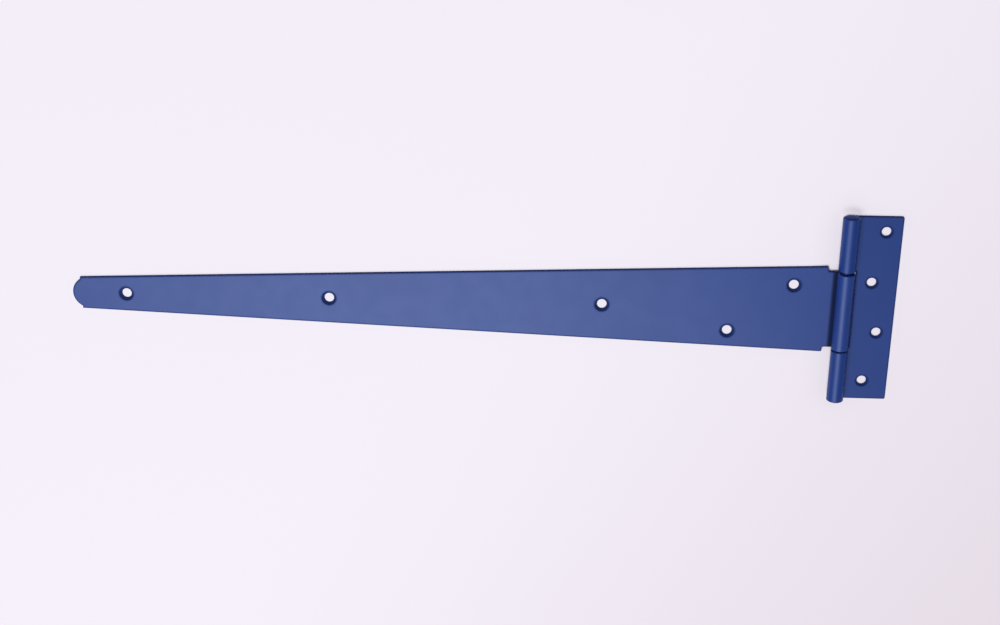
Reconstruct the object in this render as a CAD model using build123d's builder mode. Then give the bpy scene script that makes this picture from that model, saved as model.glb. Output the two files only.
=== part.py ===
from build123d import *
import os
from math import asin, degrees

# Tee hinge: a long tapered strap and a short butt plate, each rolled from sheet around one riveted pin.
# Millimetres. X runs along the strap from the pin to the tip, Y along the pin, Z out of the front.
# The origin lies on the back plane of both leaves, under the middle of the pin.

os.makedirs("parts", exist_ok=True)

# Sheet and pin
sheet = 2.0  # thickness of both leaves
edge_round = 0.5  # front edges of the sheet, rounded by the shear
edge_break = 0.4  # back edges, deburred; they go on round the outside of the knuckles
pin_diameter = 5.6
pin_clearance = 0.06  # radial, between the pin and the rolled knuckles
seam_gap = 0.9  # between a rolled end and the front of its own leaf
pin_head_diameter = 7.4  # riveted ends of the pin
pin_head_height = 1.2
pin_head_rim = 0.4  # straight part of a riveted end, under its dome

# Butt plate
plate_height = 112.5  # along the pin
plate_reach = 29.7  # pin axis to outer edge
plate_corner = 1.0  # outer corners, and those inside the notch
notch_clearance = 1.0  # from the centre knuckle to the floor of the plate's notch
plate_hole_diameter = 5.4
plate_sink_diameter = 7.4
plate_hole_count = 4
plate_start_margin = 9.1  # first hole to the plate's -Y end
plate_end_margin = 11.6  # last hole to the plate's +Y end
far_row_margin = 9.1  # outer edge to the holes further from the pin
near_row_reach = 15.2  # pin axis to the holes nearer the pin

# Strap
strap_length = 450.0  # pin axis to tip
strap_root_width = 52.6
strap_tip_width = 19.6
strap_corner = 0.9  # corners of the root, and those inside its steps
root_step = 3.0  # each side, from the root's width in to the neck
shoulder_clearance = 4.8  # from the barrel to the root's square end
nose_step = 1.4  # each side, from the tip's width in to the rounded nose
nose_height = 5.0
strap_hole_diameter = 5.6
strap_sink_diameter = 8.6
tip_hole_margin = 32.0  # tip to the last hole
middle_hole_reaches = (138.0, 297.5)  # pin axis to the other holes on the centre line
root_hole_reaches = (28.5, 65.0)  # pin axis to the staggered pair
root_hole_stagger = 14.5  # centre line to each of that pair
end_play = 1.1  # between knuckles, each side, with the strap in the middle
strap_slip = 0.5  # how far along the pin the strap has slid within its end play

# Worked out
bore_radius = pin_diameter / 2 + pin_clearance
barrel_radius = bore_radius + sheet
pin_axis = Axis((0, 0, barrel_radius), (0, 1, 0))
curl_angle = 270 + degrees(asin((bore_radius - seam_gap) / barrel_radius))
sink_angle = 90  # countersinks, as the screws' heads
neck_width = strap_root_width - 2 * root_step
notch_width = neck_width + 2 * end_play


def outline_edges(face):
    # Outline of a leaf's front or back, apart from the end at the pin, which rolls on into its knuckles.
    return face.outer_wire().edges().filter_by(lambda edge: abs(edge.center().X) > edge_round)


def soften_edges(leaf):
    # Rounds the front outline of a flat leaf and breaks the back one.
    fillet(outline_edges(leaf.faces().sort_by(Axis.Z)[-1]), edge_round)
    chamfer(outline_edges(leaf.faces().sort_by(Axis.Z)[0]), edge_break)


def roll_knuckle(middle, length, turn):
    # Carries the leaf's section at the pin round the pin's axis as far as the seam, turning about +Y or -Y.
    section_plane = Plane((0, middle, sheet / 2), x_dir=(0, 1, 0), z_dir=(1, 0, 0))
    with BuildSketch(section_plane) as section:
        Rectangle(length, sheet)
        chamfer(section.vertices(), edge_break)
    revolve(section.sketch, axis=Axis(pin_axis.position, (0, turn, 0)), revolution_arc=curl_angle)


# Butt plate: leaf with a notch for the centre knuckle, and a knuckle each side of it
notch_depth = barrel_radius + notch_clearance
plate_knuckle_length = (plate_height - notch_width) / 2
plate_knuckle_middle = (notch_width + plate_knuckle_length) / 2
plate_hole_pitch = (plate_height - plate_start_margin - plate_end_margin) / (plate_hole_count - 1)
plate_row_reaches = (plate_reach - far_row_margin, near_row_reach)
plate_holes = [
    (-plate_row_reaches[n % 2], plate_start_margin - plate_height / 2 + n * plate_hole_pitch, sheet)
    for n in range(plate_hole_count)
]
with BuildPart() as butt_plate:
    with BuildSketch() as plate_outline:
        with Locations((-plate_reach / 2, 0)):
            Rectangle(plate_reach, plate_height)
        with Locations((-notch_depth / 2, 0)):
            Rectangle(notch_depth, notch_width, mode=Mode.SUBTRACT)
        fillet(plate_outline.vertices().filter_by(lambda v: v.X < -notch_depth / 2), plate_corner)
    extrude(amount=sheet)
    soften_edges(butt_plate)
    for side in (-1, 1):
        roll_knuckle(side * plate_knuckle_middle, plate_knuckle_length, -1)
    with Locations(*plate_holes):
        CounterSinkHole(plate_hole_diameter / 2, plate_sink_diameter / 2, counter_sink_angle=sink_angle)
butt_plate.part.label = "butt_plate"
export_step(butt_plate.part, "parts/butt_plate.step")

# Strap: tapered leaf with a stepped, rounded nose, and a neck that rolls into the centre knuckle
strap_plane = Plane((0, strap_slip, 0))
shoulder_reach = barrel_radius + shoulder_clearance
nose_base = strap_length - nose_height
nose_width = strap_tip_width - 2 * nose_step
strap_holes = [(reach, 0, sheet) for reach in (*middle_hole_reaches, strap_length - tip_hole_margin)]
strap_holes += [(reach, side * root_hole_stagger, sheet) for reach, side in zip(root_hole_reaches, (-1, 1))]
with BuildPart() as strap:
    with BuildSketch(strap_plane) as strap_outline:
        with BuildLine():
            half_outline = Polyline(
                (0, 0),
                (0, neck_width / 2),
                (shoulder_reach, neck_width / 2),
                (shoulder_reach, strap_root_width / 2),
                (nose_base, strap_tip_width / 2),
                (nose_base, nose_width / 2),
            )
            mirror(half_outline, about=Plane.XZ)
            ThreePointArc((nose_base, nose_width / 2), (strap_length, 0), (nose_base, -nose_width / 2))
        make_face()
        fillet(strap_outline.vertices().filter_by(lambda v: 0 < v.X < 2 * shoulder_reach), strap_corner)
    extrude(amount=sheet)
    soften_edges(strap)
    roll_knuckle(strap_slip, neck_width, 1)
    with Locations(strap_plane):
        with Locations(*strap_holes):
            CounterSinkHole(strap_hole_diameter / 2, strap_sink_diameter / 2, counter_sink_angle=sink_angle)
strap.part.label = "strap"
export_step(strap.part, "parts/strap.step")

# Hinge pin: plain wire, with both ends riveted over against the plate's outer knuckles
half_length = plate_height / 2
head_radius = pin_head_diameter / 2
dome_height = pin_head_height - pin_head_rim
dome_radius = (head_radius**2 + dome_height**2) / (2 * dome_height)
with BuildPart() as hinge_pin:
    with BuildSketch(Plane(pin_axis.position, x_dir=(0, 1, 0), z_dir=(1, 0, 0))):
        with BuildLine():
            half_profile = Polyline(
                (0, pin_diameter / 2),
                (half_length, pin_diameter / 2),
                (half_length, head_radius),
                (half_length + pin_head_rim, head_radius),
            )
            dome = RadiusArc(half_profile @ 1, (half_length + pin_head_height, 0), dome_radius)
            mirror(half_profile, about=Plane.YZ)
            mirror(dome, about=Plane.YZ)
            Line((-half_length - pin_head_height, 0), (half_length + pin_head_height, 0))
        make_face()
    revolve(axis=pin_axis)
hinge_pin.part.label = "hinge_pin"
export_step(hinge_pin.part, "parts/hinge_pin.step")
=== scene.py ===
import math

import bpy
from mathutils import Matrix, Vector

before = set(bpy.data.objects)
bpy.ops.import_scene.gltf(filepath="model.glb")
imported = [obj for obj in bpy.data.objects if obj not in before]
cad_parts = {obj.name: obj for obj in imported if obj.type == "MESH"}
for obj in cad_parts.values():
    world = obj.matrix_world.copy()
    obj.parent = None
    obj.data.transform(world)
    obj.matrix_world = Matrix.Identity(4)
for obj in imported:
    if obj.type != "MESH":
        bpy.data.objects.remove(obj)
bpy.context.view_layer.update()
scene = bpy.context.scene


def addNode(tree, kind, place, **settings):
    node = tree.nodes.new(kind)
    node.location = place
    for name, value in settings.items():
        setattr(node, name, value)
    return node


def addMath(tree, operation, place, *values):
    # Each value is a number or the output of another node
    node = addNode(tree, "ShaderNodeMath", place, operation=operation)
    for socket, value in zip(node.inputs, values):
        if isinstance(value, (int, float)):
            socket.default_value = value
        else:
            tree.links.new(value, socket)
    return node.outputs[0]


def addRamp(tree, place, value, low, high, start=0.0, end=1.0):
    # Smooth step from start, where the value is low, to end, where it is high
    node = addNode(tree, "ShaderNodeMapRange", place, interpolation_type="SMOOTHSTEP")
    tree.links.new(value, node.inputs["Value"])
    for name, number in zip(("From Min", "From Max", "To Min", "To Max"), (low, high, start, end)):
        node.inputs[name].default_value = number
    return node.outputs["Result"]


def addNoise(tree, place, coordinates, size, detail):
    node = addNode(tree, "ShaderNodeTexNoise", place)
    node.inputs["Scale"].default_value = 1 / size
    node.inputs["Detail"].default_value = detail
    tree.links.new(coordinates, node.inputs["Vector"])
    return node.outputs["Fac"]


# Camera: the middle of the pin falls on one pixel of the picture, at one depth
shot = dict(
    width=1000,
    height=625,
    focalPixels=1448.93,
    tilt=22.0,
    pan=-3.218,
    roll=-0.131,
    pinPixel=(841.265, 307.464),
    pinDepth=0.834846,
    sensor=36.0,
)


def addCamera():
    turn = Matrix.Rotation(math.pi, 4, "Z") @ Matrix.Rotation(math.radians(-shot["pan"]), 4, "Y")
    turn = turn @ Matrix.Rotation(math.radians(-shot["tilt"]), 4, "X")
    turn = turn @ Matrix.Rotation(math.radians(-shot["roll"]), 4, "Z")
    across = (shot["pinPixel"][0] - (shot["width"] - 1) / 2) / shot["focalPixels"]
    down = (shot["pinPixel"][1] - (shot["height"] - 1) / 2) / shot["focalPixels"]
    pinSeen = Vector((across, -down, -1)) * shot["pinDepth"]
    data = bpy.data.cameras.new("camera")
    data.sensor_width = shot["sensor"]
    data.lens = shot["focalPixels"] * shot["sensor"] / shot["width"]
    camera = bpy.data.objects.new("camera", data)
    camera.matrix_world = Matrix.Translation(-(turn.to_3x3() @ pinSeen)) @ turn
    scene.collection.objects.link(camera)
    scene.camera = camera
    print("camera at", [round(c, 3) for c in camera.matrix_world.translation])


# Pale table top: the camera sees mostly its own tone, so that shadows stay faint
tableTop = dict(
    size=8.0,
    middle=(0.2, 0.0),
    paper=(0.925, 0.88, 0.965),
    # Painted shade: the paper's tone where the table top darkens towards one side
    dimPaper=(0.8, 0.725, 0.8),
    dimWay=(-1.0, 0.75),
    dimStart=-0.05,
    dimEnd=0.62,
    roughness=0.9,
    sheenLevel=0.1,
    ownTone=0.85,
    nearSamples=8,
    slotReach=0.016,
    slotShut=0.36,
    slotOpen=0.54,
    closeReach=0.0035,
    loomFull=0.2,
    loomTone=0.68,
)


def addOpenness(tree, place, reach):
    # How free a spot is of anything within reach
    node = addNode(tree, "ShaderNodeAmbientOcclusion", place, samples=tableTop["nearSamples"])
    node.inputs["Distance"].default_value = reach
    return node.outputs["AO"]


def addFloor():
    bpy.ops.object.select_all(action="DESELECT")
    bpy.ops.mesh.primitive_plane_add(size=tableTop["size"], location=(*tableTop["middle"], 0))
    floor = bpy.context.object
    floor.name = "floor"
    material = bpy.data.materials.new("tablePaper")
    material.use_nodes = True
    tree = material.node_tree
    place = addNode(tree, "ShaderNodeTexCoord", (-1200, 0))
    split = addNode(tree, "ShaderNodeSeparateXYZ", (-1000, 0))
    tree.links.new(place.outputs["Object"], split.inputs["Vector"])
    # Painted shade: the paper's own tone darkens towards one side of the table top
    along = addMath(tree, "MULTIPLY", (-800, 100), split.outputs["X"], tableTop["dimWay"][0])
    away = addMath(tree, "MULTIPLY_ADD", (-600, 0), split.outputs["Y"], tableTop["dimWay"][1], along)
    dim = addRamp(tree, (-400, 0), away, tableTop["dimStart"], tableTop["dimEnd"])
    tone = addNode(tree, "ShaderNodeMix", (-200, 0), data_type="RGBA")
    tree.links.new(dim, tone.inputs["Factor"])
    tone.inputs["A"].default_value = (*tableTop["paper"], 1)
    tone.inputs["B"].default_value = (*tableTop["dimPaper"], 1)
    shader = tree.nodes["Principled BSDF"]
    tree.links.new(tone.outputs["Result"], shader.inputs["Base Color"])
    shader.inputs["Roughness"].default_value = tableTop["roughness"]
    shader.inputs["Specular IOR Level"].default_value = tableTop["sheenLevel"]
    glow = addNode(tree, "ShaderNodeEmission", (0, -300))
    tree.links.new(tone.outputs["Result"], glow.inputs["Color"])
    rays = addNode(tree, "ShaderNodeLightPath", (-400, 400)).outputs
    direct = addMath(tree, "MAXIMUM", (-200, 400), rays["Is Camera Ray"], rays["Is Transmission Ray"])
    seen = addMath(tree, "MAXIMUM", (-100, 400), direct, rays["Is Glossy Ray"])
    # Down in narrow slots the paper keeps no tone of its own
    room = addOpenness(tree, (-400, 700), tableTop["slotReach"])
    clear = addRamp(tree, (-200, 700), room, tableTop["slotShut"], tableTop["slotOpen"])
    # Soft shadow where something stands tall beside a spot, but not in holes
    close = addOpenness(tree, (-400, 950), tableTop["closeReach"])
    loom = addMath(tree, "SUBTRACT", (-200, 950), close, room)
    soft = addRamp(tree, (0, 950), loom, 0, tableTop["loomFull"], 1, tableTop["loomTone"])
    unshaded = addMath(tree, "MULTIPLY", (100, 700), clear, soft)
    tinted = addMath(tree, "MULTIPLY", (-100, 600), unshaded, tableTop["ownTone"])
    share = addMath(tree, "MULTIPLY", (0, 400), seen, tinted)
    mix = addNode(tree, "ShaderNodeMixShader", (300, 200))
    tree.links.new(share, mix.inputs["Fac"])
    tree.links.new(shader.outputs["BSDF"], mix.inputs[1])
    tree.links.new(glow.outputs["Emission"], mix.inputs[2])
    tree.links.new(mix.outputs["Shader"], tree.nodes["Material Output"].inputs["Surface"])
    floor.data.materials.append(material)
    print("table top laid")


# One wide softbox beyond the strap, and a dim room
studio = dict(
    place=(0.43, 0.52, 1.25),
    aim=(0.2, 0.0, 0.0),
    width=1.05,
    depth=0.5,
    power=14.5,
    skyTone=(0.92, 0.94, 1.0),
    skyLevel=0.25,
)


def addLight():
    data = bpy.data.lights.new("softbox", "AREA")
    data.shape = "RECTANGLE"
    data.size = studio["width"]
    data.size_y = studio["depth"]
    data.energy = studio["power"]
    lamp = bpy.data.objects.new("softbox", data)
    lamp.location = studio["place"]
    lamp.rotation_euler = (Vector(studio["aim"]) - lamp.location).to_track_quat("-Z", "Y").to_euler()
    scene.collection.objects.link(lamp)
    world = bpy.data.worlds.new("world")
    world.use_nodes = True
    sky = world.node_tree.nodes["Background"]
    sky.inputs["Color"].default_value = (*studio["skyTone"], 1)
    sky.inputs["Strength"].default_value = studio["skyLevel"]
    scene.world = world
    print("softbox and room light set")


# Powder coat: fine orange peel, slightly cloudy, with painted shade along rims, in recesses and on
# knuckle ends, and a painted shadow in the crevice beside the knuckle.
# Lengths in metres; slopes are parts of the normal, in the piece's own frame.
peelAndShade = dict(
    noiseLow=0.3,
    noiseHigh=0.7,
    cloudSize=0.055,
    cloudDetail=3,
    patchSize=0.012,
    patchDetail=4,
    grainSize=0.0011,
    grainDetail=2,
    grainHeight=0.00003,
    recessRough=0.95,
    rimSamples=6,
    rimFlat=0.9995,
    rimTurned=0.975,
    flatSlope=0.998,
    sideSlope=0.75,
    barrelReach=0.0056,
    leafReach=0.0066,
    endSlopeLow=0.45,
    endSlopeHigh=0.9,
    endShade=0.3,
    creviceStart=0.002,
    creviceReach=0.008,
    creviceFloor=0.0026,
    creviceTop=0.0036,
    creviceShade=0.95,
)

# Inputs of the coat's node group, by the names of a coat's values
peelAndShadeInputs = dict(
    cloudiness="Cloudiness",
    glossLoss="Gloss Loss",
    patchiness="Patchiness",
    grain="Grain",
    rimWidth="Rim Width",
    rimShade="Rim Shade",
)


def addSway(tree, place, noise, middle, sway):
    # Noise about one half becomes a value that sways about the middle
    spread = addRamp(tree, place, noise, peelAndShade["noiseLow"], peelAndShade["noiseHigh"], -1, 1)
    return addMath(tree, "MULTIPLY_ADD", (place[0] + 200, place[1]), spread, sway, middle)


def makePeelAndShadeGroup():
    tree = bpy.data.node_groups.new("coatPeelAndShade", "ShaderNodeTree")
    for name in peelAndShadeInputs.values():
        tree.interface.new_socket(name, in_out="INPUT", socket_type="NodeSocketFloat")
    for name in ("Cloud", "Roughness", "Painted Shade", "Crevice Shadow"):
        tree.interface.new_socket(name, in_out="OUTPUT", socket_type="NodeSocketFloat")
    tree.interface.new_socket("Normal", in_out="OUTPUT", socket_type="NodeSocketVector")
    given = addNode(tree, "NodeGroupInput", (-1200, 300)).outputs
    out = addNode(tree, "NodeGroupOutput", (900, 0))
    place = addNode(tree, "ShaderNodeTexCoord", (-1200, 0))
    spot = place.outputs["Object"]
    cloud = addNoise(tree, (-900, 500), spot, peelAndShade["cloudSize"], peelAndShade["cloudDetail"])
    patch = addNoise(tree, (-900, 250), spot, peelAndShade["patchSize"], peelAndShade["patchDetail"])
    grain = addNoise(tree, (-900, -1100), spot, peelAndShade["grainSize"], peelAndShade["grainDetail"])
    cloudy = addSway(tree, (-600, 500), cloud, 1.0, given["Cloudiness"])
    rough = addSway(tree, (-600, 250), patch, given["Gloss Loss"], given["Patchiness"])
    bump = addNode(tree, "ShaderNodeBump", (-300, -1100))
    bump.inputs["Distance"].default_value = peelAndShade["grainHeight"]
    tree.links.new(given["Grain"], bump.inputs["Strength"])
    tree.links.new(grain, bump.inputs["Height"])

    slope = addNode(tree, "ShaderNodeSeparateXYZ", (-900, 0))
    tree.links.new(place.outputs["Normal"], slope.inputs["Vector"])
    where = addNode(tree, "ShaderNodeSeparateXYZ", (-900, -300))
    tree.links.new(spot, where.inputs["Vector"])
    upright = addMath(tree, "ABSOLUTE", (-700, 50), slope.outputs["Z"])
    sideways = addMath(tree, "ABSOLUTE", (-700, -100), slope.outputs["Y"])
    reach = addMath(tree, "ABSOLUTE", (-700, -300), where.outputs["X"])

    # Painted shade on sheet sides, countersinks and knuckle ends, darkened in the coat's colour
    side = addRamp(tree, (-450, 50), upright, peelAndShade["sideSlope"], peelAndShade["flatSlope"], 1, 0)
    leaf = addRamp(tree, (-450, -150), reach, peelAndShade["barrelReach"], peelAndShade["leafReach"])
    edge = addMath(tree, "MULTIPLY", (-200, 0), side, leaf)
    turnedEnd = addRamp(tree, (-450, -350), sideways, peelAndShade["endSlopeLow"], peelAndShade["endSlopeHigh"])
    end = addMath(tree, "MULTIPLY", (-200, -350), turnedEnd, peelAndShade["endShade"])
    sideAndEndShade = addMath(tree, "MAXIMUM", (0, -100), edge, end)

    # Painted shadow on the front of the strap, in the crevice beside its knuckle
    along = where.outputs["X"]
    beside = addRamp(tree, (-450, -500), along, peelAndShade["barrelReach"], peelAndShade["creviceReach"], 1, 0)
    low = addRamp(tree, (-450, -600), where.outputs["Z"], peelAndShade["creviceFloor"], peelAndShade["creviceTop"], 1, 0)
    strapSide = addRamp(tree, (-450, -750), along, 0, peelAndShade["creviceStart"])
    strapShade = addMath(tree, "MULTIPLY", (-300, -750), strapSide, peelAndShade["creviceShade"])
    front = addRamp(tree, (-450, -900), slope.outputs["Z"], 0, peelAndShade["sideSlope"])
    sheltered = addMath(tree, "MULTIPLY", (-200, -500), beside, low)
    facing = addMath(tree, "MULTIPLY", (-200, -750), strapShade, front)
    creviceShadow = addMath(tree, "MULTIPLY", (0, -600), sheltered, facing)

    # Painted shade along the rims of the leaves, where a rounded normal would turn away from the true
    # one
    rounded = addNode(tree, "ShaderNodeBevel", (-450, -1300), samples=peelAndShade["rimSamples"])
    tree.links.new(given["Rim Width"], rounded.inputs["Radius"])
    surface = addNode(tree, "ShaderNodeNewGeometry", (-450, -1500))
    turned = addNode(tree, "ShaderNodeVectorMath", (-200, -1300), operation="DOT_PRODUCT")
    tree.links.new(rounded.outputs["Normal"], turned.inputs[0])
    tree.links.new(surface.outputs["Normal"], turned.inputs[1])
    rim = addRamp(tree, (0, -1300), turned.outputs["Value"], peelAndShade["rimTurned"], peelAndShade["rimFlat"], 1, 0)
    leafRim = addMath(tree, "MULTIPLY", (100, -1200), rim, leaf)
    shadedRim = addMath(tree, "MULTIPLY", (200, -1300), leafRim, given["Rim Shade"])

    # Painted shade and painted shadow together, which also dull the gloss
    shaded = addMath(tree, "MAXIMUM", (200, -100), sideAndEndShade, creviceShadow)
    paintedShade = addMath(tree, "MAXIMUM", (400, -100), shaded, shadedRim)
    dull = addNode(tree, "ShaderNodeMix", (600, 100))
    tree.links.new(paintedShade, dull.inputs["Factor"])
    tree.links.new(rough, dull.inputs["A"])
    dull.inputs["B"].default_value = peelAndShade["recessRough"]
    tree.links.new(cloudy, out.inputs["Cloud"])
    tree.links.new(dull.outputs["Result"], out.inputs["Roughness"])
    tree.links.new(paintedShade, out.inputs["Painted Shade"])
    tree.links.new(creviceShadow, out.inputs["Crevice Shadow"])
    tree.links.new(bump.outputs["Normal"], out.inputs["Normal"])
    return tree


strapCoat = dict(
    tone=(0.0138, 0.049, 0.258),
    # Colours of the painted shade and of the painted shadow in the crevice
    paintedShadeTone=(0.011, 0.03, 0.15),
    creviceShadowTone=(0.001, 0.006, 0.045),
    sheenLevel=0.55,
    sheenTint=(0.64, 0.73, 1.0),
    cloudiness=0.03,
    glossLoss=0.445,
    patchiness=0.01,
    grain=0.3,
    rimWidth=0.0016,
    rimShade=0.7,
)
plateCoat = dict(strapCoat, tone=(0.008, 0.041, 0.235), cloudiness=0.05, sheenLevel=0.5)
pinCoat = dict(plateCoat, grain=0.2)  # riveted ends, coated with the rest


def powderCoat(name, coat, peelAndShadeGroup):
    material = bpy.data.materials.new(name)
    material.use_nodes = True
    tree = material.node_tree
    shader = tree.nodes["Principled BSDF"]
    detail = addNode(tree, "ShaderNodeGroup", (-800, 0), node_tree=peelAndShadeGroup)
    for value, socket in peelAndShadeInputs.items():
        detail.inputs[socket].default_value = coat[value]
    cloudy = addNode(tree, "ShaderNodeVectorMath", (-500, 200), operation="SCALE")
    cloudy.inputs[0].default_value = coat["tone"]
    tree.links.new(detail.outputs["Cloud"], cloudy.inputs["Scale"])
    # Painted shade: the tone darkens on sheet sides, countersinks, rims and knuckle ends
    tone = addNode(tree, "ShaderNodeMix", (-250, 200), data_type="RGBA")
    tree.links.new(detail.outputs["Painted Shade"], tone.inputs["Factor"])
    tree.links.new(cloudy.outputs["Vector"], tone.inputs["A"])
    tone.inputs["B"].default_value = (*coat["paintedShadeTone"], 1)
    # Painted shadow: the tone goes near black in the crevice beside the knuckle
    creviceShadowed = addNode(tree, "ShaderNodeMix", (-100, 200), data_type="RGBA")
    tree.links.new(detail.outputs["Crevice Shadow"], creviceShadowed.inputs["Factor"])
    tree.links.new(tone.outputs["Result"], creviceShadowed.inputs["A"])
    creviceShadowed.inputs["B"].default_value = (*coat["creviceShadowTone"], 1)
    tree.links.new(creviceShadowed.outputs["Result"], shader.inputs["Base Color"])
    tree.links.new(detail.outputs["Roughness"], shader.inputs["Roughness"])
    tree.links.new(detail.outputs["Normal"], shader.inputs["Normal"])
    shader.inputs["Specular IOR Level"].default_value = coat["sheenLevel"]
    shader.inputs["Specular Tint"].default_value = (*coat["sheenTint"], 1)
    return material


def coatPieces():
    peelAndShadeGroup = makePeelAndShadeGroup()
    coats = dict(strap=strapCoat, butt_plate=plateCoat, hinge_pin=pinCoat)
    for name, coat in coats.items():
        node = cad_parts[name]
        node.data.materials.clear()
        node.data.materials.append(powderCoat(name + "Coat", coat, peelAndShadeGroup))
    print("pieces coated:", ", ".join(coats))


addCamera()
addFloor()
addLight()
coatPieces()

scene.view_settings.view_transform = "Standard"
